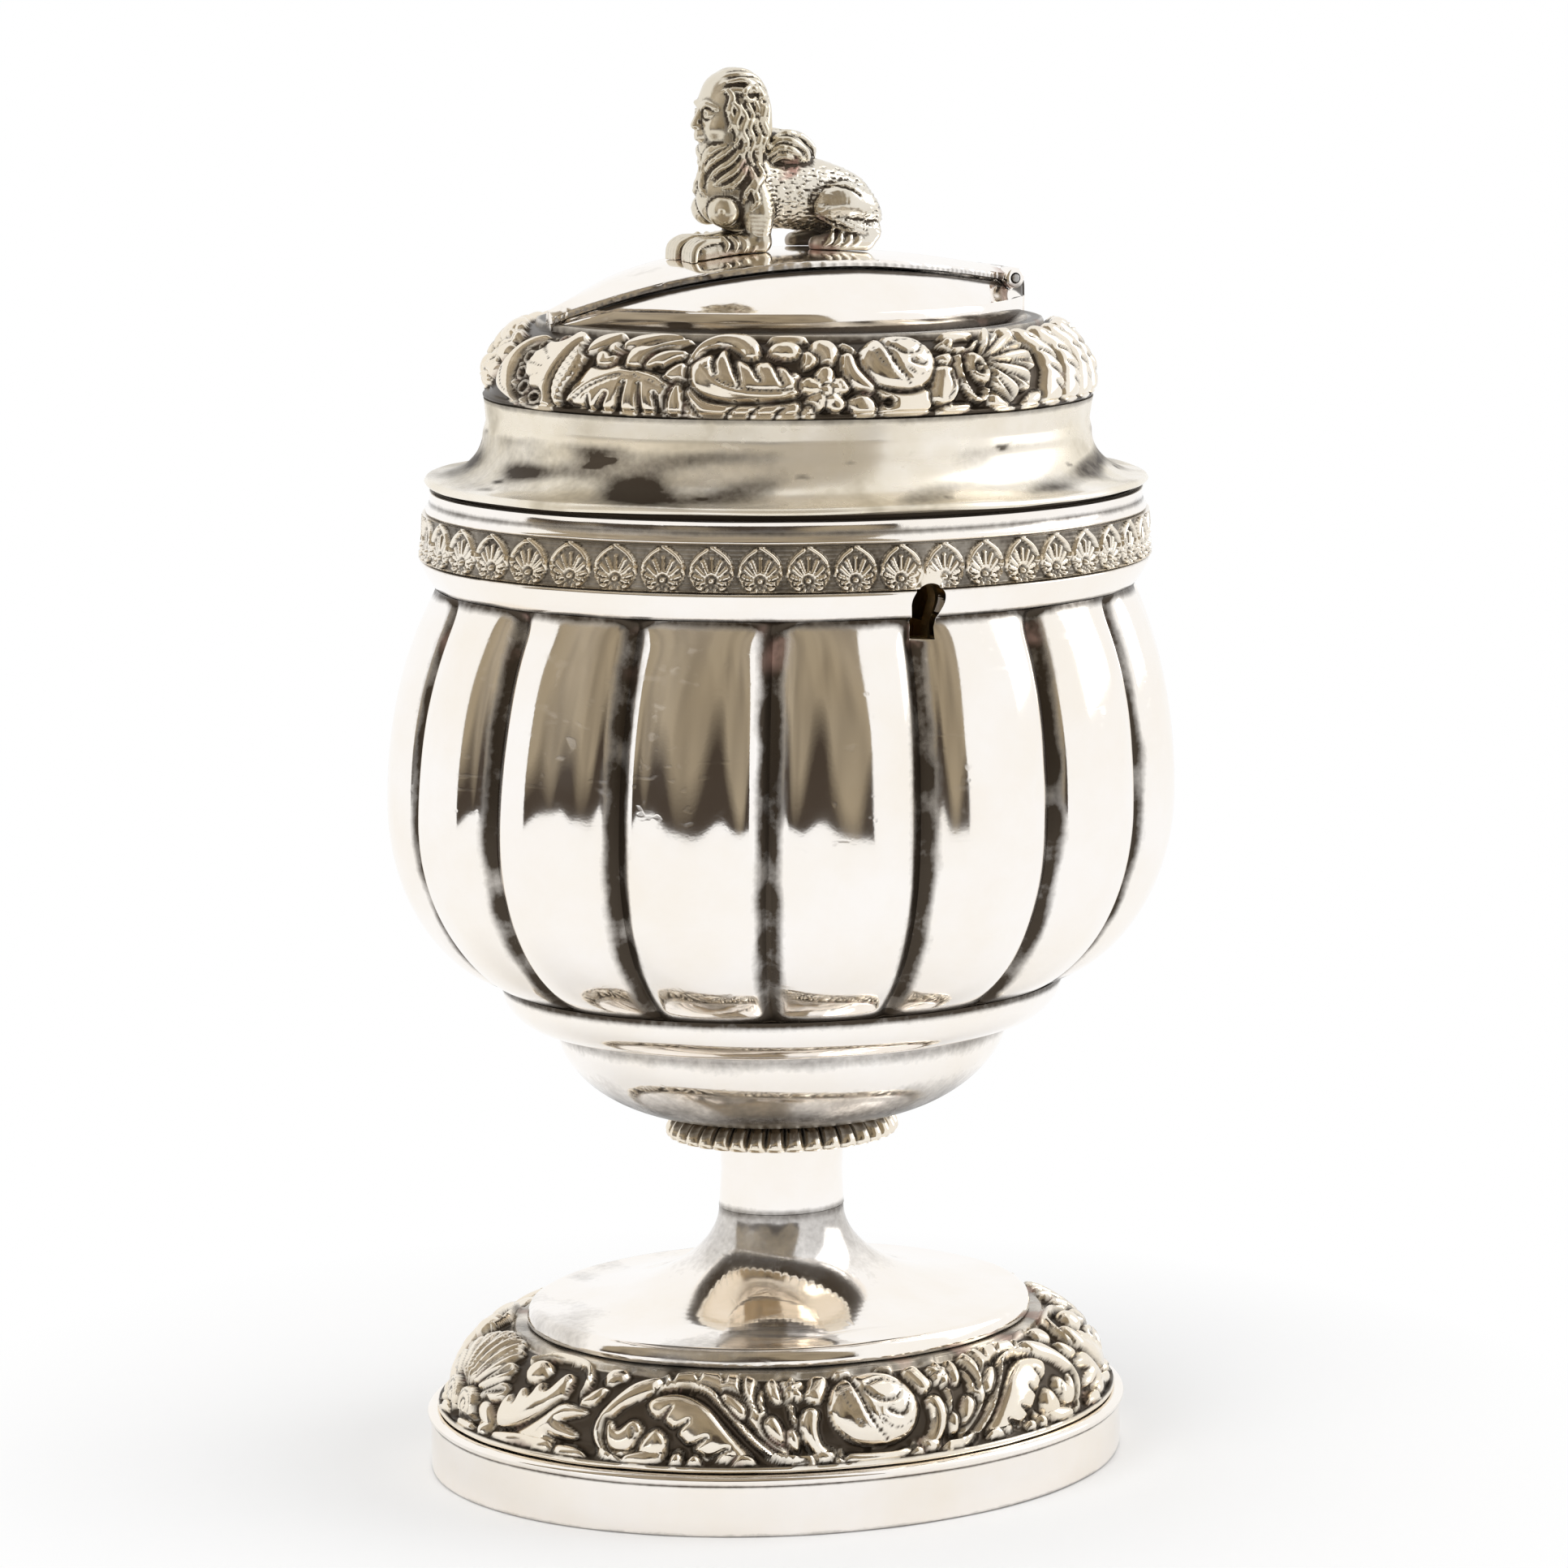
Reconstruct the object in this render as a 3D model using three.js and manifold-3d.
// A silver money box: an oval lobed box on a tall foot, with a hinged cover that locks,
// a coin slot under a small hinged flap, and a cast sphinx lying on the flap.
// Millimetres, +Z up. X runs along the oval, the keyhole faces -Y and the cover's hinge is at +Y.
import * as THREE from 'three';
import { mergeVertices } from 'three/addons/utils/BufferGeometryUtils.js';
import Module from 'manifold-3d';

const wasm = await Module();
wasm.setup();

// plan of the box: every level section is an oval, given by its half length
const ovalRatio = 0.8; // half depth over half length

// sheet metal and how closely pieces sit
const bodySheet = 0.9;
const coverSheet = 0.8;
const footSheet = 0.9;
const seam = 0.06; // left open in a soldered joint
const running = 0.3; // left open between pieces that move
const pinPlay = 0.22; // between a hinge pin and its bore

// foot
const footHalfLength = 39.0;
const footBandHeight = 6.5;
const footBandWall = 1.2;
const footBandBead = 0.35;
const footBandBeadDrop = 0.45; // middle of the bead under the band's top
const footBorderHeight = 8.9;
const footBorderInset = 0.9; // of the border's foot from the band's face
const footBorderLedge = 1.5;
const plateHalfLength = 27.9;
const plateWallHeight = 2.0;
const plateLip = 0.25;
const footFlareHeight = 10.1;

// stem and the gadroon ring on it
const stemHalfLength = 7.0;
const stemHeight = 7.8;
const stemWaist = 0.15;
const gadroonCount = 36;
const gadroonHalfLength = 13.1;
const gadroonHeight = 2.75;
const gadroonDepth = 1.25;

// lower bowl with its rounded shoulder
const bowlFootHalfLength = 12.0;
const bowlHalfLength = 25.2;
const bowlHeight = 9.8;
const shoulderHeight = 4.9;

// lobed body
const lobeCount = 16;
const lobeDepth = 1.7;
const lobeTurn = -1.5; // degrees that the grooves are turned from the ends of the oval
const lobeEndLength = 3.2;
const bodyFootHalfLength = 31.4;
const bodyTopHalfLength = 38.7;
const bodyBulge = 5.3; // of the widest level past the top
const bodyHalfLength = bodyTopHalfLength + bodyBulge;
const bodyLowerHeight = 20.0;
const bodyUpperHeight = 22.6;
const lowerArcReach = 20.6; // vertical half axis of the arc under the widest level
const upperArcReach = 30.0;

// collar with the palmette band let into it
const collarSwell = 1.6; // of the collar past the body's top
const collarTopInset = 1.0;
const collarHalfLength = bodyTopHalfLength + collarSwell;
const collarTopHalfLength = collarHalfLength - collarTopInset;
const collarSwellHeight = 3.0;
const palmetteBandHeight = 4.8;
const palmetteBandThickness = 0.45;
const collarLipHeight = 2.4;

// keyhole
const keyholeHeight = 5.95;
const keyholeWidth = 3.8;
const keySlotWidth = 2.2;
const keyAxisAboveBody = 1.8;

// cover
const coverGap = 0.6;
const coverOverhang = 0.5; // of the cover's rim past the collar's top
const coverRimHalfLength = collarTopHalfLength + coverOverhang;
const neckHalfLength = 33.5;
const neckFlareHeight = 5.5;
const neckHeight = 9.1;
const borderCrestHalfLength = 27.0;
const borderHeight = 8.2;
const borderValleyDepth = 1.2;
const borderFloorHalfLength = 22.6;
const bezelDepth = 1.7; // reach of the inner rim below the collar's edge
const bezelClearance = 0.5;

// coin plinth, its slot and the flap that covers it
const plinthHalfLength = 28.0;
const plinthHalfWidth = 15.2;
const plinthRimHeight = 2.8;
const coinSlotLength = 34.0;
const coinSlotWidth = 4.6;
const flapThickness = 0.8;
const flapHalfWidth = 9.5;
const flapPeakHeight = 8.5; // top of the flap over the floor of the cover
const flapTipDrop = 6.0;
const flapHingeDrop = 2.5;
const flapCrown = 0.7; // how much higher the flap's middle is than its edges

// hinges
const coverKnuckleRadius = 1.3;
const coverPinRadius = 0.5;
const coverHingeLength = 20.0;
const coverHingeRise = 0.35; // axis over the collar's edge
const coverHingeStandOff = 0.2; // knuckles behind the rim
const collarLeafReach = 4.0; // from the axis to the leaf's seat on the wall
const coverLeafReach = 3.4;
const pinEnd = 0.2; // how far a pin stands out of its last knuckle
const flapKnuckleRadius = 1.1;
const flapPinRadius = 0.45;
const flapHingeLength = 8.6;
const flapHingeX = 24.6;

// lock behind the keyhole
const lockWall = 0.8;
const lockLeft = -10.2;
const lockRight = 6.8;
const lockBack = 7.46; // depth of the case from its face
const lockFoot = 6.3; // how far the case reaches below the key's axis
const lockFaceThickness = 1.76;
const lugSize = 2.4;
const boltThrow = 2.6;
const boltHeight = 2.5;
const boltThickness = 1.3;
const boltNoseX = 2.4;
const boltTailX = -8.9;
const haspThickness = 1.6;
const haspWidth = 4.3;
const haspBar = 0.95;
const keyPostRadius = 0.8;
const wardRadius = 2.3;
const screwRadius = 0.6;
const studRadius = 0.5;
const springLeaf = 0.35;

// sphinx, from the level of its paws up
const sphinxHeight = 19.2;
const sphinxLength = 25.4;
const sphinxFrontX = -14.3;

// The main forms of the borders' relief over half the oval, repeated round the other half. Each gives
// its middle along the border from the front and up from its foot, its half width and its height.
const coverReliefForms = [
  [-48.5, 5.4, 4.0, 0.8], [-39.0, 4.8, 4.6, 0.8], [-27.0, 4.9, 5.0, 0.7], [-17.5, 6.6, 4.4, 0.8],
  [-8.7, 4.0, 3.0, 0.8], [-0.6, 6.0, 4.4, 0.9], [11.5, 5.0, 4.8, 0.8], [21.5, 5.4, 4.0, 0.8],
  [30.5, 5.2, 4.2, 0.8],
];
const footReliefForms = [
  [-2.5, 6.9, 5.0, 0.8], [-16.5, 5.6, 4.6, 0.6], [-27.5, 6.6, 5.0, 0.8], [-37.5, 6.6, 5.2, 0.8],
  [11.5, 5.6, 4.6, 0.6], [22.5, 6.6, 5.0, 0.8], [32.5, 6.6, 5.2, 0.8], [45.7, 6.8, 6.0, 0.8],
];

// fineness of the round forms
const ovalSteps = 32;
const reliefSteps = 96;
const stemSteps = 24;
const stepsPerLobe = 5;
const stepsPerGadroon = 3;
const arcSteps = 4;
const knuckleSides = 14;
const pinSides = 10;

const fullTurn = 2 * Math.PI;

// levels, from the floor up
const footBorderZ = footBandHeight + seam;
const plateZ = footBorderZ + footBorderHeight + seam;
const flareZ = plateZ + plateWallHeight;
const stemZ = flareZ + footFlareHeight + seam;
const gadroonZ = stemZ + stemHeight + seam;
const bowlZ = gadroonZ + gadroonHeight + seam;
const bowlTopZ = bowlZ + bowlHeight + shoulderHeight;
const bodyZ = bowlTopZ + seam;
const bodyWideZ = bodyZ + bodyLowerHeight;
const bodyTopZ = bodyWideZ + bodyUpperHeight;
const collarZ = bodyTopZ + seam;
const bandZ = collarZ + collarSwellHeight;
const collarLipZ = bandZ + palmetteBandHeight;
const collarTopZ = collarLipZ + collarLipHeight;
const coverZ = collarTopZ + coverGap;
const neckTopZ = coverZ + neckHeight;
const borderZ = neckTopZ + seam;
const borderCrestZ = borderZ + borderHeight;
const floorZ = borderCrestZ - borderValleyDepth;
const plinthRimZ = floorZ + plinthRimHeight;
const flapPeakZ = floorZ + flapPeakHeight;
const keyAxisZ = bodyTopZ + keyAxisAboveBody;

// the collar's and the bezel's walls, measured in from the collar's top oval
const collarInner = { a: collarTopHalfLength, out: -bodySheet };
const bezelOuter = { a: collarTopHalfLength, out: -bodySheet - bezelClearance };
const bezelInner = { a: collarTopHalfLength, out: -bodySheet - bezelClearance - coverSheet };

// cover hinge, just behind the rim
const coverHingeY = ovalRatio * coverRimHalfLength + coverKnuckleRadius + coverHingeStandOff;
const coverHingeZ = collarTopZ + coverHingeRise;

// lock case, set against the narrowest place of the wall
const lockFaceY = -(ovalRatio * bodyTopHalfLength - bodySheet - running);
const lockBackY = lockFaceY + lockBack;
const lockTopZ = collarTopZ - bezelDepth - running - 0.1;
const lockFootZ = keyAxisZ - lockFoot;
const lockFrontInnerY = lockFaceY + lockFaceThickness;
const boltMiddleY = (lockFrontInnerY + lockBackY) / 2;
const boltLowZ = lockTopZ - lockWall - running - boltHeight;
const haspX = boltNoseX + running + 0.1;

// geometry helpers

function cleaned(geometry) {
  const bare = geometry.index ? geometry.toNonIndexed() : geometry.clone();
  bare.deleteAttribute('normal');
  bare.deleteAttribute('uv');
  return mergeVertices(bare, 1e-4);
}

function solidOf(geometry) {
  const bare = cleaned(geometry);
  return new wasm.Manifold(new wasm.Mesh({
    numProp: 3,
    vertProperties: new Float32Array(bare.attributes.position.array),
    triVerts: new Uint32Array(bare.index.array),
  }));
}

function geometryOf(solid) {
  const mesh = solid.getMesh();
  const geometry = new THREE.BufferGeometry();
  geometry.setAttribute('position', new THREE.BufferAttribute(new Float32Array(mesh.vertProperties), 3));
  geometry.setIndex(new THREE.BufferAttribute(new Uint32Array(mesh.triVerts), 1));
  return geometry;
}

const joined = solids => solids.reduce((whole, next) => whole.add(next));

function geometryFrom(positions, index) {
  const geometry = new THREE.BufferGeometry();
  geometry.setAttribute('position', new THREE.Float32BufferAttribute(positions, 3));
  geometry.setIndex(index);
  return geometry;
}

function block(x0, x1, y0, y1, z0, z1) {
  const geometry = new THREE.BoxGeometry(x1 - x0, y1 - y0, z1 - z0);
  geometry.translate((x0 + x1) / 2, (y0 + y1) / 2, (z0 + z1) / 2);
  return solidOf(geometry);
}

// a round bar along X, Y or Z between two places on that axis
function bar(axis, radius, from, to, u, v, sides = pinSides) {
  const geometry = new THREE.CylinderGeometry(radius, radius, to - from, sides);
  if (axis === 'x') geometry.rotateZ(-Math.PI / 2).translate((from + to) / 2, u, v);
  if (axis === 'y') geometry.translate(u, (from + to) / 2, v);
  if (axis === 'z') geometry.rotateX(Math.PI / 2).translate(u, v, (from + to) / 2);
  return solidOf(geometry);
}

// a flat outline in X and Z, drawn out along Y
function drawnAlongY(shape, y0, y1, curveSegments = 12) {
  const geometry = new THREE.ExtrudeGeometry(shape, { depth: y1 - y0, bevelEnabled: false, curveSegments });
  geometry.rotateX(Math.PI / 2).translate(0, y1, 0);
  return solidOf(geometry);
}

// A body swept round the oval. Each point of the loop gives the half length a of its oval,
// how far it stands out from that oval all round, and its height. The loop runs up the outside.
function ovalBody(loop, steps = ovalSteps, swell = () => 0, startAngle = 0) {
  const positions = [];
  const index = [];
  const onAxis = point => point.a === 0;
  for (const point of loop) {
    for (let k = 0; k < steps; k++) {
      const angle = startAngle + fullTurn * k / steps;
      const raised = onAxis(point) ? 0 : swell(point, k, angle);
      const [across, up] = point.lean ?? [1, 0];
      const out = onAxis(point) ? 0 : point.out + raised * across;
      const z = point.z + raised * up;
      positions.push((point.a + out) * Math.cos(angle), (ovalRatio * point.a + out) * Math.sin(angle), z);
    }
  }
  loop.forEach((point, row) => {
    const nextRow = (row + 1) % loop.length;
    for (let k = 0; k < steps; k++) {
      const right = (k + 1) % steps;
      const low = row * steps;
      const high = nextRow * steps;
      if (!onAxis(point)) index.push(low + k, low + right, high + right);
      if (!onAxis(loop[nextRow])) index.push(low + k, high + right, high + k);
    }
  });
  return cleaned(geometryFrom(positions, index));
}

// A loop for sheet of even thickness under an outline of [half length, height] points.
// The hidden side of a form that only bulges outwards can do with every second point.
function sheetLoop(outline, thickness, levelStart = true, levelEnd = true, coarseInside = false) {
  const last = outline.length - 1;
  const outer = outline.map(([a, z]) => ({ a, out: 0, z }));
  const inner = outline.map(([a, z], i) => {
    const [a0, z0] = outline[Math.max(i - 1, 0)];
    const [a1, z1] = outline[Math.min(i + 1, last)];
    const length = Math.hypot(a1 - a0, z1 - z0);
    const level = (i === 0 && levelStart) || (i === last && levelEnd);
    const across = level ? 1 : (z1 - z0) / length;
    const up = level ? 0 : (a0 - a1) / length;
    return { a, out: a === 0 ? 0 : -thickness * across, z: z - thickness * up };
  });
  const kept = coarseInside ? inner.filter((point, i) => i % 2 === 0 || i === last) : inner;
  return [...outer, ...kept.reverse()];
}

// A quarter of an oval between two points of an outline, leaving the first one upright or level.
function quarterRound([a0, z0], [a1, z1], leaves, steps = arcSteps, fullness = 2) {
  const points = [];
  for (let i = 0; i <= steps; i++) {
    const angle = (Math.PI / 2) * i / steps;
    const near = Math.cos(angle) ** (2 / fullness);
    const far = Math.sin(angle) ** (2 / fullness);
    if (leaves === 'upright') points.push([a1 + (a0 - a1) * near, z0 + (z1 - z0) * far]);
    else points.push([a0 + (a1 - a0) * far, z1 + (z0 - z1) * near]);
  }
  return points;
}

// Where each step round an oval lies, measured along it from its front, and the whole way round.
function runsAlongOval(halfLength, steps) {
  const runs = [0];
  const place = k => {
    const angle = fullTurn * k / steps;
    return [halfLength * Math.cos(angle), ovalRatio * halfLength * Math.sin(angle)];
  };
  for (let k = 0; k < steps; k++) {
    const [x0, y0] = place(k);
    const [x1, y1] = place(k + 1);
    runs.push(runs[k] + Math.hypot(x1 - x0, y1 - y0));
  }
  const front = runs[Math.round(steps * 3 / 4)];
  return { runs: runs.map(run => run - front), around: runs[steps] };
}

// Sheet under an outline with rounded forms raised on its outer side, coarse on its hidden side.
function reliefBody(outline, thickness, forms, middleHalfLength) {
  const { runs, around } = runsAlongOval(middleHalfLength, reliefSteps);
  const half = around / 2;
  const loop = sheetLoop(outline, thickness, true, false, true);
  let up = 0;
  for (let i = 1; i + 1 < outline.length; i++) {
    const [a0, z0] = outline[i - 1];
    const [a1, z1] = outline[i + 1];
    const length = Math.hypot(a1 - a0, z1 - z0);
    up += Math.hypot(outline[i][0] - a0, outline[i][1] - z0);
    Object.assign(loop[i], { up, lean: [(z1 - z0) / length, (a0 - a1) / length] });
  }
  const raised = (point, k) => {
    if (point.up === undefined) return 0;
    const heights = forms.map(([along, high, reach, height]) => {
      const aside = Math.abs(((runs[k] - along) % half + half) % half);
      const distance = Math.hypot(Math.min(aside, half - aside), point.up - high) / reach;
      return height * Math.max(1 - distance * distance, 0);
    });
    return Math.max(...heights);
  };
  return ovalBody(loop, reliefSteps, raised);
}

// A closed sheet or block between an upper and a lower face, each given over a grid.
function slab(rows, columns, upper, lower) {
  const positions = [];
  const index = [];
  for (const face of [upper, lower]) {
    for (let i = 0; i <= rows; i++) for (let j = 0; j <= columns; j++) positions.push(...face(i, j));
  }
  const width = columns + 1;
  const under = (rows + 1) * width;
  for (let i = 0; i < rows; i++) {
    for (let j = 0; j < columns; j++) {
      const corner = i * width + j;
      index.push(corner, corner + width, corner + width + 1, corner, corner + width + 1, corner + 1);
      index.push(under + corner, under + corner + width + 1, under + corner + width);
      index.push(under + corner, under + corner + 1, under + corner + width + 1);
    }
  }
  const edge = (from, to) => index.push(from, to, under + to, from, under + to, under + from);
  for (let j = 0; j < columns; j++) {
    edge(j, j + 1);
    edge(rows * width + j + 1, rows * width + j);
  }
  for (let i = 0; i < rows; i++) {
    edge((i + 1) * width, i * width);
    edge(i * width + columns, (i + 1) * width + columns);
  }
  return geometryFrom(positions, index);
}

// a full oval block, used to trim a piece to the form of its neighbour
function ovalBlock(outline) {
  const [, z0] = outline[0];
  const [, z1] = outline[outline.length - 1];
  const loop = [{ a: 0, out: 0, z: z0 }];
  for (const [a, z, out = 0] of outline) loop.push({ a, out, z });
  loop.push({ a: 0, out: 0, z: z1 });
  return solidOf(ovalBody(loop));
}

// foot

function footBand() {
  const beadZ = footBandHeight - footBandBeadDrop;
  const rows = [
    [0, 0], [0, beadZ - 0.5], [footBandBead, beadZ - 0.15], [footBandBead, beadZ + 0.2],
    [0, footBandHeight], [-footBandWall, footBandHeight], [-footBandWall, 0],
  ];
  return ovalBody(rows.map(([out, z]) => ({ a: footHalfLength, out, z })));
}

function footFloralBorder() {
  const outerHalfLength = footHalfLength - footBorderInset;
  const swellFoot = [outerHalfLength - footBorderLedge, footBorderZ + 1.5];
  const outline = [
    [outerHalfLength, footBorderZ], [outerHalfLength, footBorderZ + 0.9],
    ...quarterRound(swellFoot, [plateHalfLength + 0.5, plateZ - seam], 'upright', arcSteps + 1),
    [plateHalfLength - footSheet, plateZ - seam],
  ];
  return reliefBody(outline, footSheet, footReliefForms, (outerHalfLength + plateHalfLength) / 2);
}

function footDome() {
  const outline = [
    [plateHalfLength, plateZ], [plateHalfLength, flareZ - plateLip],
    ...quarterRound([plateHalfLength - 2 * plateLip, flareZ], [stemHalfLength, stemZ - seam], 'level',
      arcSteps + 2),
  ];
  return ovalBody(sheetLoop(outline, footSheet));
}

function stem() {
  const outline = [[stemHalfLength, stemZ], [stemHalfLength - stemWaist, stemZ + stemHeight / 2],
    [stemHalfLength, stemZ + stemHeight]];
  return ovalBody(sheetLoop(outline, footSheet), stemSteps);
}

// tongues that widen and flare towards the lower edge of the ring
function gadroonRing() {
  const steps = gadroonCount * stepsPerGadroon;
  const tongueOf = (point, k) => {
    const offCentre = Math.abs((k % stepsPerGadroon) / stepsPerGadroon - 0.5) * 2;
    return -gadroonDepth * point.cut * offCentre ** 1.5;
  };
  const holeHalfLength = stemHalfLength - footSheet;
  const profile = [
    [holeHalfLength, 0, 0], [gadroonHalfLength - 0.6, 0, 0.3],
    [gadroonHalfLength, 0.4, 0.45], [gadroonHalfLength - 0.35, gadroonHeight * 0.55, 0.9],
    [gadroonHalfLength - 0.9, gadroonHeight, 1], [holeHalfLength, gadroonHeight, 0],
  ];
  const loop = profile.map(([a, up, cut]) => ({ a, out: 0, z: gadroonZ + up, cut }));
  return ovalBody(loop, steps, tongueOf);
}

// bowl, lobed body and collar

function lowerBowl() {
  const corner = [bowlHalfLength, bowlZ + bowlHeight];
  const outline = [
    [0, bowlZ],
    ...quarterRound([bowlFootHalfLength, bowlZ], corner, 'level', arcSteps, 1.8),
    ...quarterRound(corner, [bodyFootHalfLength, bowlTopZ], 'level').slice(1),
  ];
  return ovalBody(sheetLoop(outline, bodySheet, false, true));
}

// half length of the body's oval at a height, from one arc below the widest level and one above
function bodyHalfLengthAt(z) {
  const below = z < bodyWideZ;
  const reach = below ? lowerArcReach : upperArcReach;
  const height = below ? bodyLowerHeight : bodyUpperHeight;
  const endHalfLength = below ? bodyFootHalfLength : bodyTopHalfLength;
  const drop = share => 1 - Math.sqrt(Math.max(1 - share * share, 0));
  const distance = Math.min(Math.abs(z - bodyWideZ) / reach, 1);
  return bodyHalfLength - (bodyHalfLength - endHalfLength) * drop(distance) / drop(height / reach);
}

// Convex lobes with sharp grooves between them, rounded off at both ends.
function lobedBody() {
  const rows = 8;
  const groove = (point, k) => {
    const fromEnd = Math.min(point.z - bodyZ, bodyTopZ - point.z);
    const rounding = Math.max(1 - fromEnd / lobeEndLength, 0);
    const offCentre = Math.abs((k % stepsPerLobe) / stepsPerLobe - 0.5) * 2;
    return -lobeDepth * Math.sqrt(1 - rounding * rounding) * offCentre ** 2.4;
  };
  const outer = [];
  for (let i = 0; i <= rows; i++) {
    const share = (1 - Math.cos(Math.PI * i / rows)) / 2;
    const z = bodyZ + (bodyTopZ - bodyZ) * share;
    outer.push({ a: bodyHalfLengthAt(z), out: 0, z });
  }
  const inner = outer.filter((point, i) => i % 2 === 0 || i === rows);
  const loop = [...outer, ...inner.reverse().map(point => ({ ...point, out: -bodySheet }))];
  const grooveTurn = lobeTurn * Math.PI / 180;
  return ovalBody(loop, lobeCount * stepsPerLobe, groove, grooveTurn);
}

const bandSeatLow = collarHalfLength - palmetteBandThickness;
const bandSeatHigh = collarHalfLength - palmetteBandThickness - 0.4;

function collarShell() {
  const outline = [
    [bodyTopHalfLength, collarZ], [collarHalfLength - 0.45, collarZ + collarSwellHeight * 0.6],
    [collarHalfLength, bandZ - 0.15], [bandSeatLow, bandZ], [bandSeatHigh, collarLipZ],
    [collarTopHalfLength + 0.35, collarLipZ + 0.25], [collarTopHalfLength, collarTopZ],
  ];
  const outer = outline.map(([a, z]) => ({ a, out: 0, z }));
  const inner = [
    { ...collarInner, z: collarTopZ }, { ...collarInner, z: bandZ },
    { a: bodyTopHalfLength, out: -bodySheet, z: collarZ },
  ];
  return ovalBody([...outer, ...inner]);
}

function palmetteBandStrip() {
  const outside = seam + palmetteBandThickness;
  const low = bandZ + 2 * seam;
  const high = collarLipZ - seam;
  return ovalBody([
    { a: bandSeatLow, out: seam, z: low }, { a: bandSeatLow, out: outside, z: low },
    { a: bandSeatHigh, out: outside, z: high }, { a: bandSeatHigh, out: seam, z: high },
  ]);
}

// the keyhole: a round eye running down into a narrow slot with a square end
function keyholeCutter() {
  const radius = keyholeWidth / 2;
  const slotFoot = radius - keyholeHeight;
  const shape = new THREE.Shape();
  shape.moveTo(-keySlotWidth / 2, slotFoot);
  shape.lineTo(keySlotWidth / 2, slotFoot);
  shape.lineTo(keySlotWidth / 2, slotFoot + 1.2);
  shape.lineTo(radius * 0.97, -radius * 0.25);
  shape.absarc(0, 0, radius, -0.25, Math.PI + 0.25, false);
  shape.lineTo(-keySlotWidth / 2, slotFoot + 1.2);
  shape.closePath();
  const outside = -ovalRatio * bodyHalfLength - 1;
  return drawnAlongY(shape, outside, lockFrontInnerY + 0.1).translate(0, 0, keyAxisZ);
}

const keyhole = keyholeCutter();
const cutByKeyhole = geometry => geometryOf(solidOf(geometry).subtract(keyhole));

// cover

function neckOutline() {
  return [
    ...quarterRound([coverRimHalfLength, coverZ], [neckHalfLength, coverZ + neckFlareHeight], 'level',
      arcSteps + 1),
    [neckHalfLength, neckTopZ],
  ];
}

const coverNeck = () => ovalBody(sheetLoop(neckOutline(), coverSheet));

// the inner rim that drops into the collar, trimmed to the underside of the flare above it
function coverBezel() {
  const low = collarTopZ - bezelDepth;
  const high = coverZ + neckFlareHeight;
  const rim = solidOf(ovalBody([
    { ...bezelInner, z: low }, { ...bezelOuter, z: low },
    { ...bezelOuter, z: high }, { ...bezelInner, z: high },
  ]));
  const underside = sheetLoop(neckOutline(), coverSheet + 2 * seam).slice(neckOutline().length);
  const overhead = [
    { a: coverRimHalfLength, out: 2, z: coverZ }, { a: coverRimHalfLength, out: 2, z: neckTopZ }, ...underside,
  ];
  return geometryOf(rim.subtract(solidOf(ovalBody(overhead))));
}

function borderOutline() {
  const crest = [borderCrestHalfLength, borderCrestZ];
  const valley = borderCrestHalfLength - borderFloorHalfLength;
  return [
    ...quarterRound([neckHalfLength, borderZ], crest, 'upright', arcSteps + 1),
    [borderCrestHalfLength - valley * 0.5, borderCrestZ - borderValleyDepth * 0.3],
    [borderCrestHalfLength - valley * 0.85, borderCrestZ - borderValleyDepth * 0.85],
    [borderFloorHalfLength, floorZ],
    [0, floorZ],
  ];
}

// half width of a pointed oval, two equal arcs that meet at its tips
function pointedOval(halfLength, halfWidth, x) {
  const radius = (halfLength ** 2 + halfWidth ** 2) / (2 * halfWidth);
  return Math.max(Math.sqrt(Math.max(radius * radius - x * x, 0)) - (radius - halfWidth), 0);
}

function coverFloralBorder() {
  const middle = (neckHalfLength + borderCrestHalfLength) / 2;
  const shell = solidOf(reliefBody(borderOutline(), coverSheet, coverReliefForms, middle));
  const reach = coinSlotLength / 2 + 2;
  const opening = slab(12, 1,
    (i, j) => pointOnOpening(i, j, floorZ + 2), (i, j) => pointOnOpening(i, j, floorZ - 4));
  function pointOnOpening(i, j, z) {
    const x = reach * (i / 6 - 1);
    const halfWidth = 1.5 + pointedOval(reach, plinthHalfWidth - 6, x);
    return [x, halfWidth * (2 * j - 1), z];
  }
  return geometryOf(shell.subtract(solidOf(opening)));
}

// The flap's crest is a flat arch that drops to its tip at -X and less to its hinge at +X.
const flapTipX = -plinthHalfLength - 0.3;

function crestDrop(x) {
  const tip = Math.abs(flapTipX);
  const skew = (flapTipDrop / tip ** 2 - flapHingeDrop / flapHingeX ** 2) / (tip + flapHingeX);
  const arch = flapHingeDrop / flapHingeX ** 2 + skew * flapHingeX;
  return arch * x * x - skew * x ** 3;
}

const flapTopAt = (x, share) => flapPeakZ - crestDrop(x) - flapCrown * share * share;
const flapHingeZ = flapTopAt(flapHingeX, 0) - flapKnuckleRadius + 0.05;

// the plinth's own half widths: at its rim, and along the edge of the flap
const plinthRimAt = x => Math.max(pointedOval(plinthHalfLength, plinthHalfWidth, x), 0.25);
const flapWidthAt = x => Math.max(pointedOval(plinthHalfLength + 0.3, flapHalfWidth, x), 0.3);
const flapSeatAt = x => Math.min(flapWidthAt(x) + 0.2, 0.8 * plinthRimAt(x));

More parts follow.
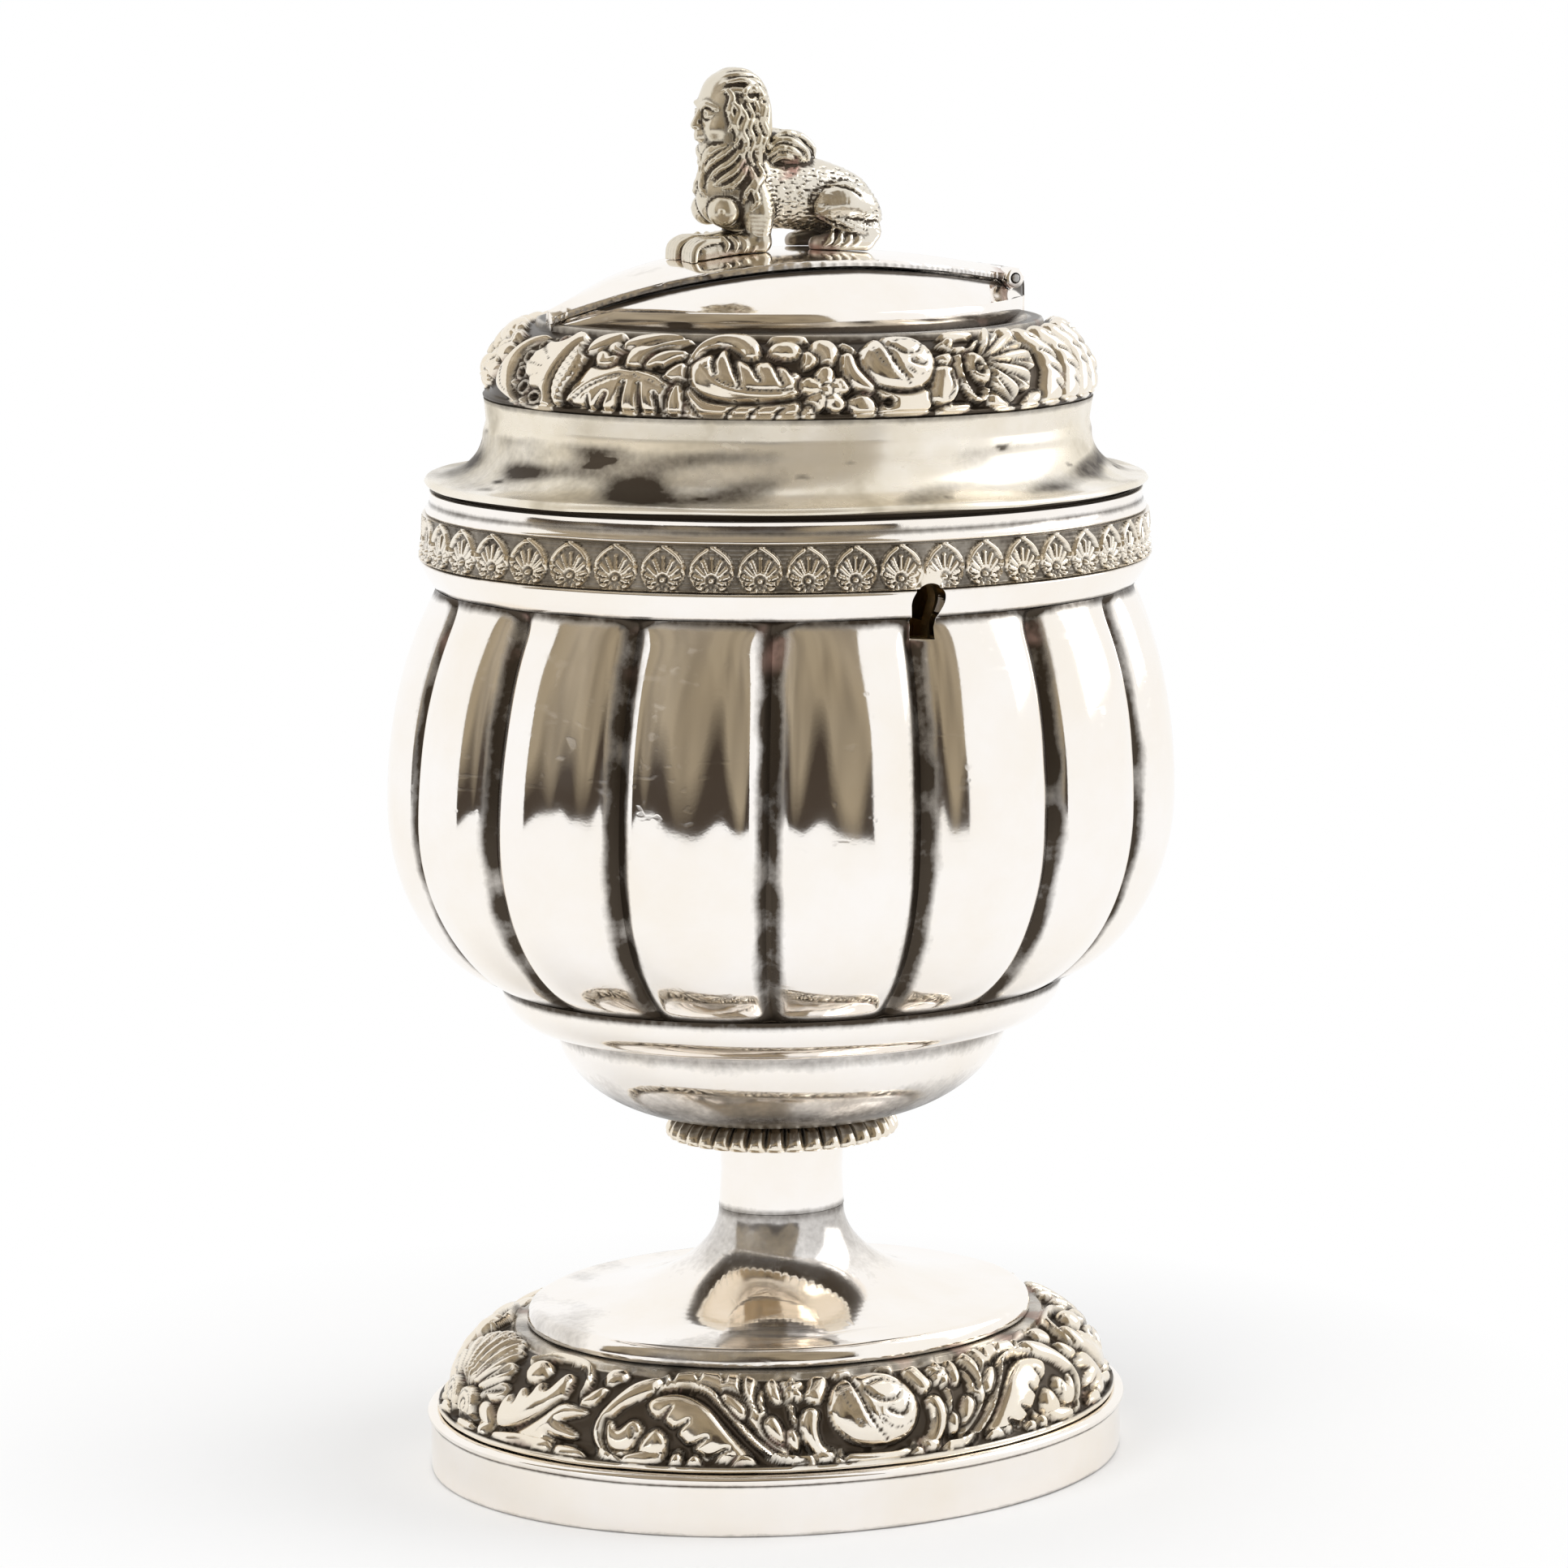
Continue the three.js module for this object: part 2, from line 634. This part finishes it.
// A pointed-oval box with steep hollow sides, and an arched top that the flap lies on.
function slotPlinth() {
  const rows = 14;
  const across = [-1, -0.86, -0.72, -0.4, 0, 0.4, 0.72, 0.86, 1];
  const seatShare = 0.72;
  const outerPoint = (inset, fall) => (i, j) => {
    const tip = plinthHalfLength - 0.05 - inset;
    const x = tip * (2 * i / rows - 1);
    const share = Math.abs(across[j]);
    const side = Math.sign(across[j]);
    const rim = Math.max(plinthRimAt(x) - inset, 0.12);
    const seat = Math.min(flapSeatAt(x), rim * 0.8);
    const seatZ = flapTopAt(x, 1) - flapThickness - running;
    if (share <= seatShare) {
      const y = seat * share / seatShare;
      return [x, side * y, seatZ + flapCrown * (1 - (share / seatShare) ** 2) - fall];
    }
    const down = (share - seatShare) / (1 - seatShare);
    const hollow = down * (1 - down) * 0.9;
    const z = seatZ + (plinthRimZ - seatZ) * down - hollow;
    return [x, side * (seat + (rim - seat) * down), Math.min(z, seatZ) - fall];
  };
  const flatFoot = (inset, z) => (i, j) => {
    const [x, y] = outerPoint(inset, 0)(i, j);
    return [x, y, z];
  };
  const footZ = floorZ + seam;
  const outside = solidOf(slab(rows, across.length - 1, outerPoint(0, 0), flatFoot(0, footZ)));
  const inside = solidOf(slab(rows, across.length - 1, outerPoint(coverSheet, coverSheet),
    flatFoot(coverSheet, footZ - 1)));
  const grownBorder = borderOutline().map(([a, z]) => [a, z + 2 * seam, seam]);
  const slot = block(-coinSlotLength / 2, coinSlotLength / 2, -coinSlotWidth / 2, coinSlotWidth / 2,
    floorZ, flapPeakZ);
  const knuckleRoom = bar('y', flapKnuckleRadius + running, -flapHingeLength / 2 - running,
    flapHingeLength / 2 + running, flapHingeX, flapHingeZ, knuckleSides);
  return geometryOf(outside.subtract(inside).subtract(ovalBlock(grownBorder)).subtract(slot)
    .subtract(knuckleRoom));
}

// the flap with the middle knuckle of its hinge
function coinFlap() {
  const rows = 14;
  const columns = 6;
  const endX = flapHingeX - 0.2;
  const face = fall => (i, j) => {
    const x = flapTipX + (endX - flapTipX) * i / rows;
    const share = 2 * j / columns - 1;
    const halfWidth = Math.max(flapWidthAt(x), x > 0 ? flapHingeLength / 2 : 0);
    return [x, halfWidth * share, flapTopAt(x, share) - fall];
  };
  const sheet = solidOf(slab(rows, columns, face(0), face(flapThickness)));
  const third = flapHingeLength / 6 - running / 2;
  const ownKnuckle = bar('y', flapKnuckleRadius, -third, third, flapHingeX, flapHingeZ, knuckleSides);
  const room = flapKnuckleRadius + running;
  const roomBeside = [-1, 1].map(side => {
    const inner = side * (third + running);
    const outer = side * (flapHingeLength / 2 + running);
    return bar('y', room, Math.min(inner, outer), Math.max(inner, outer), flapHingeX, flapHingeZ, knuckleSides);
  });
  const bore = bar('y', flapPinRadius + pinPlay, -flapHingeLength, flapHingeLength, flapHingeX, flapHingeZ);
  return geometryOf(sheet.subtract(joined(roomBeside)).add(ownKnuckle).subtract(bore));
}

// an outer knuckle of the flap's hinge, sunk in the hollow at the plinth's end
function flapEndKnuckle(side) {
  const third = flapHingeLength / 6 - running / 2;
  const inner = side * (third + running);
  const outer = side * flapHingeLength / 2;
  const y0 = Math.min(inner, outer);
  const y1 = Math.max(inner, outer);
  const knuckle = bar('y', flapKnuckleRadius, y0, y1, flapHingeX, flapHingeZ, knuckleSides);
  const bore = bar('y', flapPinRadius + pinPlay, y0 - 1, y1 + 1, flapHingeX, flapHingeZ);
  return geometryOf(knuckle.subtract(bore));
}

function flapHingePin() {
  const half = flapHingeLength / 2 + pinEnd;
  return geometryOf(bar('y', flapPinRadius, -half, half, flapHingeX, flapHingeZ));
}

// cover hinge: three knuckles on the collar, two on the cover

const coverKnuckle = coverHingeLength / 5;

function knuckleRow(slots, footAt) {
  const half = coverHingeLength / 2;
  const pieces = slots.map(n => {
    const x0 = -half + n * coverKnuckle + (n > 0 ? running / 2 : 0);
    const x1 = -half + (n + 1) * coverKnuckle - (n < 4 ? running / 2 : 0);
    const knuckle = bar('x', coverKnuckleRadius, x0, x1, coverHingeY, coverHingeZ, knuckleSides);
    return knuckle.add(footAt(x0, x1));
  });
  const bore = bar('x', coverPinRadius + pinPlay, -half - 1, half + 1, coverHingeY, coverHingeZ);
  return pieces.map(piece => piece.subtract(bore));
}

const collarLipWall = () => ovalBlock([
  [collarHalfLength, collarZ, 2], [collarHalfLength, bandZ, palmetteBandThickness + running],
  [collarHalfLength, collarLipZ, palmetteBandThickness + running - 0.3],
  [collarTopHalfLength + 0.35, collarLipZ + 0.25, seam], [collarTopHalfLength, collarTopZ, seam],
  [collarTopHalfLength, collarTopZ + 3, seam],
]);

function collarHingeLeaf() {
  const low = collarLipZ + 0.5;
  const foot = (x0, x1) => block(x0, x1, coverHingeY - collarLeafReach, coverHingeY, low, coverHingeZ);
  const strap = block(-coverHingeLength / 2, coverHingeLength / 2, coverHingeY - collarLeafReach,
    coverHingeY - coverKnuckleRadius - running + 0.55, low, coverHingeZ - 0.9);
  return geometryOf(joined([...knuckleRow([0, 2, 4], foot), strap]).subtract(collarLipWall())
    .subtract(knuckleSweep()));
}

// the room that the cover's knuckles turn in
function knuckleSweep() {
  const half = coverHingeLength / 2;
  return joined([1, 3].map(n => bar('x', coverKnuckleRadius + running, -half + n * coverKnuckle - running / 2,
    -half + (n + 1) * coverKnuckle + running / 2, coverHingeY, coverHingeZ, knuckleSides)));
}

function coverHingeLeaf() {
  const grownNeck = neckOutline().map(([a, z]) => [a, z, 2 * seam]);
  const neckBlock = ovalBlock([[coverRimHalfLength, coverZ - coverSheet, 2 * seam], ...grownNeck]);
  const low = coverZ + 2 * seam;
  const foot = (x0, x1) => block(x0, x1, coverHingeY - coverLeafReach, coverHingeY, low,
    coverHingeZ + coverKnuckleRadius);
  const half = coverHingeLength / 2;
  const strap = block(-half, half, coverHingeY - 1.5 * coverLeafReach,
    coverHingeY - coverKnuckleRadius - running, coverZ + coverSheet + 2 * seam,
    coverHingeZ + coverKnuckleRadius);
  const roomBeside = joined([0, 2, 4].map(n => bar('x', coverKnuckleRadius + running,
    -half + n * coverKnuckle - 1, -half + (n + 1) * coverKnuckle + (n < 4 ? running / 2 : 1),
    coverHingeY, coverHingeZ, knuckleSides)));
  const leaf = joined([...knuckleRow([1, 3], foot), strap]);
  return geometryOf(leaf.subtract(neckBlock).subtract(roomBeside));
}

function coverHingePin() {
  const half = coverHingeLength / 2 + pinEnd;
  return geometryOf(bar('x', coverPinRadius, -half, half, coverHingeY, coverHingeZ));
}

// lock

function lockCase() {
  const wall = ovalBlock([
    [bodyTopHalfLength, lockFootZ - 1, -bodySheet - running],
    [bodyTopHalfLength, lockTopZ + 1, -bodySheet - running],
  ]);
  const outside = block(lockLeft, lockRight, lockFaceY - 1, lockBackY, lockFootZ, lockTopZ).intersect(wall);
  const room = block(lockLeft + lockWall, lockRight - lockWall, lockFrontInnerY, lockBackY + 1,
    lockFootZ + lockWall, lockTopZ - lockWall);
  const haspDoor = block(haspX - 0.6, haspX + haspThickness + 0.6, lockFrontInnerY + 0.1, lockBackY + 1,
    lockTopZ - lockWall - 1, lockTopZ + 1);
  const lugs = [lockLeft + lockWall, lockRight - lockWall - lugSize].map(x =>
    block(x - 0.3, x + lugSize + 0.3, lockFrontInnerY - 0.3, lockBackY, lockFootZ + 0.3,
      lockFootZ + lockWall + lugSize));
  const holes = screwHoles(lockBackY - 3);
  const shell = outside.subtract(room).subtract(haspDoor);
  return geometryOf(shell.add(joined(lugs).intersect(outside)).subtract(holes).subtract(keyhole));
}

function screwPlaces() {
  const z = lockFootZ + lockWall + lugSize / 2;
  return [[lockLeft + lockWall + lugSize / 2, z], [lockRight - lockWall - lugSize / 2, z]];
}

function screwHoles(fromY) {
  return joined(screwPlaces().map(([x, z]) => bar('y', screwRadius + running, fromY, capBackY + 1, x, z)));
}

const capFrontY = lockBackY + seam;
const capBackY = capFrontY + lockWall;

function lockCap() {
  const plate = block(lockLeft, lockRight, capFrontY, capBackY, lockFootZ, lockTopZ);
  return geometryOf(plate.subtract(screwHoles(capFrontY - 1)));
}

function lockScrew([x, z]) {
  const shank = bar('y', screwRadius, lockBackY - 2.6, capBackY + 0.3, x, z);
  const head = bar('y', screwRadius * 1.9, capBackY + seam, capBackY + 0.7, x, z);
  return geometryOf(shank.add(head));
}

const keyPost = () => geometryOf(bar('y', keyPostRadius, lockFrontInnerY + 0.9, capFrontY - seam, 0, keyAxisZ));

// a half-round ridge that a wrong key's bit would strike
function lockWard() {
  const outer = bar('y', wardRadius + 0.45, capFrontY - 1.4, capFrontY - seam, 0, keyAxisZ, 24);
  const inner = bar('y', wardRadius, capFrontY - 2, capFrontY + 1, 0, keyAxisZ, 24);
  const upperHalf = block(-5, 5, capFrontY - 3, capFrontY + 2, keyAxisZ - 0.4, keyAxisZ + 5);
  return geometryOf(outer.subtract(inner).subtract(upperHalf));
}

const studX = boltTailX + boltThrow + 1.7;

// the stud that the bolt slides on
function boltStud() {
  const z = boltLowZ + boltHeight / 2;
  return geometryOf(bar('y', studRadius, boltMiddleY - boltThickness, capFrontY - seam, studX, z));
}

function lockBolt() {
  const y0 = boltMiddleY - boltThickness / 2;
  const y1 = boltMiddleY + boltThickness / 2;
  const body = block(boltTailX, boltNoseX, y0, y1, boltLowZ, boltLowZ + boltHeight);
  const slotHalf = studRadius + running;
  const middleZ = boltLowZ + boltHeight / 2;
  const slot = block(studX - boltThrow - slotHalf, studX + slotHalf, y0 - 1, y1 + 1,
    middleZ - slotHalf, middleZ + slotHalf);
  const talon = block(-boltThrow / 2 - 0.5, boltThrow / 2 - 0.2, y0 - 1, y1 + 1, boltLowZ - 1, boltLowZ + 1);
  return geometryOf(body.subtract(slot).subtract(talon));
}

// a leaf spring bent under the bolt's tail
function boltSpring() {
  const left = lockLeft + lockWall + seam;
  const top = boltLowZ - running;
  const shape = new THREE.Shape();
  shape.moveTo(left, top - 3.4);
  shape.quadraticCurveTo(left, top, left + 2.2, top);
  shape.quadraticCurveTo(left + 3.6, top, left + 4.6, top - 0.9);
  shape.lineTo(left + 4.4, top - 0.9 - springLeaf);
  shape.quadraticCurveTo(left + 3.5, top - springLeaf, left + 2.3, top - springLeaf);
  shape.quadraticCurveTo(left + springLeaf, top - springLeaf, left + springLeaf, top - 3.4);
  shape.closePath();
  return geometryOf(drawnAlongY(shape, boltMiddleY - 0.7, boltMiddleY + 0.7, 5));
}

// The loop that hangs from the cover into the lock; the bolt shoots through its eye.
function coverHasp() {
  const x1 = haspX + haspThickness;
  const y0 = boltMiddleY - haspWidth / 2;
  const y1 = boltMiddleY + haspWidth / 2;
  const eye = boltThickness / 2 + 0.5;
  const low = boltLowZ - 0.5 - haspBar;
  const top = collarTopZ - running;
  const loop = block(haspX, x1, y0, y1, low, top);
  const window = block(haspX - 1, x1 + 1, boltMiddleY - eye, boltMiddleY + eye, low + haspBar,
    boltLowZ + boltHeight + 0.5);
  const bezelBack = ovalBlock([
    [bezelInner.a, low - 1, bezelInner.out - 2 * seam], [bezelInner.a, top + 1, bezelInner.out - 2 * seam],
  ]);
  const armZ = lockTopZ + running + 0.2;
  const arm = block(haspX - 1, x1 + 1, y0 - lockBack / 2, y0 + 1, armZ, top).intersect(bezelBack);
  return geometryOf(loop.subtract(window).add(arm));
}

// sphinx: a lion's body lying on the flap with a human head, its locks falling on the chest

// A rounded form along a bent line, pointed or blunt at both ends. Each station gives the place
// of its middle, from the paws' front and the flap up, with its half width and half height,
// for a sphinx of the drawn size.
function rounded(side, across, stations, sides = 7) {
  const drawn = { height: 19.2, length: 25.4 };
  const scale = sphinxHeight / drawn.height;
  const stretch = sphinxLength / drawn.length;
  const points = stations.map(([x, z]) => [sphinxFrontX + x * stretch, z * scale]);
  const rings = stations.slice(1, -1).map(([, , wide, high], i) => {
    const [x, z] = points[i + 1];
    const ahead = Math.atan2(points[i + 2][1] - points[i][1], points[i + 2][0] - points[i][0]);
    const ring = [];
    for (let k = 0; k < sides; k++) {
      const angle = fullTurn * k / sides;
      const up = high * scale * Math.sin(angle);
      const y = (side * across + wide * Math.cos(angle)) * scale;
      ring.push([x - up * Math.sin(ahead), y, z + up * Math.cos(ahead)]);
    }
    return ring;
  });
  const tipAt = ([x, z]) => [x, side * across * scale, z];
  const positions = [tipAt(points[0]), ...rings.flat(), tipAt(points[points.length - 1])].flat();
  const index = [];
  const last = rings.length * sides + 1;
  for (let k = 0; k < sides; k++) {
    const next = (k + 1) % sides;
    index.push(0, 1 + next, 1 + k);
    index.push(last, last - sides + k, last - sides + next);
    for (let ring = 0; ring + 1 < rings.length; ring++) {
      const here = 1 + ring * sides;
      const ahead = here + sides;
      index.push(here + k, ahead + next, ahead + k, here + k, here + next, ahead + next);
    }
  }
  return solidOf(geometryFrom(positions, index));
}

function sphinxSolid() {
  const both = make => joined([make(-1), make(1)]);
  const trunk = rounded(0, 0, [
    [2.6, 5.6], [3.5, 6.0, 2.6, 3.8], [6.0, 6.4, 3.7, 5.2], [9.0, 6.6, 3.9, 5.0], [13.0, 6.2, 3.5, 4.2],
    [17.0, 5.9, 3.9, 4.2], [20.5, 5.0, 4.0, 4.0], [23.4, 4.0, 3.2, 3.3], [25.0, 3.5, 1.8, 2.0],
    [25.4, 3.4],
  ], 10);
  const head = rounded(0, 0, [
    [7.3, 7.2], [7.1, 8.6, 3.1, 3.7], [7.1, 11.0, 3.6, 4.3], [6.9, 13.5, 3.8, 4.5], [7.0, 16.0, 3.5, 4.1],
    [7.1, 18.1, 2.4, 2.8], [7.1, 19.0, 1.1, 1.4], [7.1, 19.2],
  ], 10);
  const locks = both(side => rounded(side, 3.2, [
    [8.8, 16.6], [9.0, 15.4, 0.9, 1.5], [9.2, 12.5, 1.1, 1.9], [8.4, 9.5, 1.2, 2.0], [7.2, 7.4, 0.8, 1.2],
    [6.8, 6.4],
  ]));
  const mane = rounded(0, 0, [
    [8.6, 10.6], [10.4, 10.7, 3.3, 2.1], [13.6, 10.5, 3.5, 2.4], [16.2, 9.8, 2.7, 1.6], [17.7, 9.2],
  ]);
  const bosses = both(side => rounded(side, 2.0, [
    [2.7, 4.9], [3.1, 4.9, 1.2, 1.2], [4.6, 4.9, 1.9, 1.9], [6.1, 4.9, 1.2, 1.2], [6.5, 4.9],
  ]));
  const upperArms = both(side => rounded(side, 2.7, [
    [8.2, 8.4], [8.4, 6.8, 1.3, 1.7], [8.8, 3.6, 1.7, 2.1], [8.6, 1.4, 1.4, 1.6], [8.5, 0.3],
  ]));
  const forearms = both(side => rounded(side, 2.75, [
    [0.0, 1.1], [0.45, 1.2, 1.1, 0.9], [1.7, 1.45, 1.65, 1.4], [3.4, 1.4, 1.45, 1.3],
    [5.2, 1.3, 1.2, 1.15], [9.4, 1.35, 1.2, 1.2], [10.6, 1.2],
  ]));
  const haunches = both(side => rounded(side, 3.1, [
    [15.1, 4.9], [16.0, 5.1, 1.1, 2.3], [18.8, 5.4, 1.9, 3.6], [21.9, 4.9, 1.7, 3.4],
    [24.0, 3.7, 0.9, 2.0], [24.8, 3.2],
  ]));
  const hindFeet = both(side => rounded(side, 3.5, [
    [13.5, 1.1], [14.2, 1.2, 1.2, 1.05], [17.0, 1.3, 1.35, 1.2], [21.0, 1.4, 1.4, 1.3], [23.0, 1.3],
  ]));
  return joined([trunk, head, locks, mane, bosses, upperArms, forearms, haunches, hindFeet]);
}

// the sphinx set down on the flap, its paws cut to the flap's arch
function sphinx() {
  const pawLevel = flapPeakZ - 0.4;
  const standing = sphinxSolid().translate(0, 0, pawLevel);
  const half = 0.58 * sphinxLength;
  const middle = sphinxFrontX + sphinxLength / 2;
  const top = (i, j) => {
    const x = middle + half * (i / 8 - 1);
    const y = (j / 4 - 1) * flapHalfWidth;
    return [x, y, flapTopAt(x, y / flapWidthAt(x)) + 2 * seam];
  };
  const below = (i, j) => {
    const [x, y] = top(i, j);
    return [x, y, pawLevel - sphinxHeight];
  };
  return geometryOf(standing.subtract(solidOf(slab(16, 8, top, below))));
}

// finishes

const silver = () => new THREE.MeshStandardMaterial({ color: '#d9d4ca', roughness: 0.16, metalness: 1 });
const oxidised = () => new THREE.MeshStandardMaterial({ color: '#a9a094', roughness: 0.34, metalness: 1 });
const steel = () => new THREE.MeshStandardMaterial({ color: '#7b7a78', roughness: 0.4, metalness: 1 });
const brass = () => new THREE.MeshStandardMaterial({ color: '#b3925a', roughness: 0.35, metalness: 1 });

// the assembly

const moneyBox = new THREE.Group();
const base = new THREE.Group();
const cover = new THREE.Group();
const flap = new THREE.Group();
const lock = new THREE.Group();

function addPiece(group, name, geometry, material) {
  const piece = new THREE.Mesh(geometry, material);
  piece.name = name;
  group.add(piece);
}

addPiece(base, 'foot_band', footBand(), silver());
addPiece(base, 'foot_floral_border', footFloralBorder(), oxidised());
addPiece(base, 'foot_dome', footDome(), silver());
addPiece(base, 'stem', stem(), silver());
addPiece(base, 'gadroon_ring', gadroonRing(), oxidised());
addPiece(base, 'lower_bowl', lowerBowl(), silver());
addPiece(base, 'lobed_body', cutByKeyhole(lobedBody()), silver());
addPiece(base, 'collar', cutByKeyhole(collarShell()), silver());
addPiece(base, 'palmette_band', cutByKeyhole(palmetteBandStrip()), oxidised());
addPiece(base, 'collar_hinge_leaf', collarHingeLeaf(), silver());
addPiece(base, 'cover_hinge_pin', coverHingePin(), steel());

addPiece(lock, 'lock_case', lockCase(), brass());
addPiece(lock, 'lock_cap', lockCap(), brass());
addPiece(lock, 'key_post', keyPost(), steel());
addPiece(lock, 'lock_ward', lockWard(), brass());
addPiece(lock, 'bolt_stud', boltStud(), steel());
addPiece(lock, 'bolt_spring', boltSpring(), steel());
addPiece(lock, 'lock_bolt', lockBolt(), steel());
screwPlaces().forEach((place, i) => {
  addPiece(lock, ['lock_screw_left', 'lock_screw_right'][i], lockScrew(place), steel());
});

addPiece(cover, 'cover_neck', coverNeck(), silver());
addPiece(cover, 'cover_bezel', coverBezel(), silver());
addPiece(cover, 'cover_floral_border', coverFloralBorder(), oxidised());
addPiece(cover, 'slot_plinth', slotPlinth(), silver());
addPiece(cover, 'cover_hinge_leaf', coverHingeLeaf(), silver());
addPiece(cover, 'cover_hasp', coverHasp(), silver());
addPiece(cover, 'flap_knuckle_front', flapEndKnuckle(-1), silver());
addPiece(cover, 'flap_knuckle_back', flapEndKnuckle(1), silver());
addPiece(cover, 'flap_hinge_pin', flapHingePin(), steel());

addPiece(flap, 'coin_flap', coinFlap(), silver());
addPiece(flap, 'sphinx', sphinx(), oxidised());

moneyBox.add(base, lock, cover, flap);

export default moneyBox;
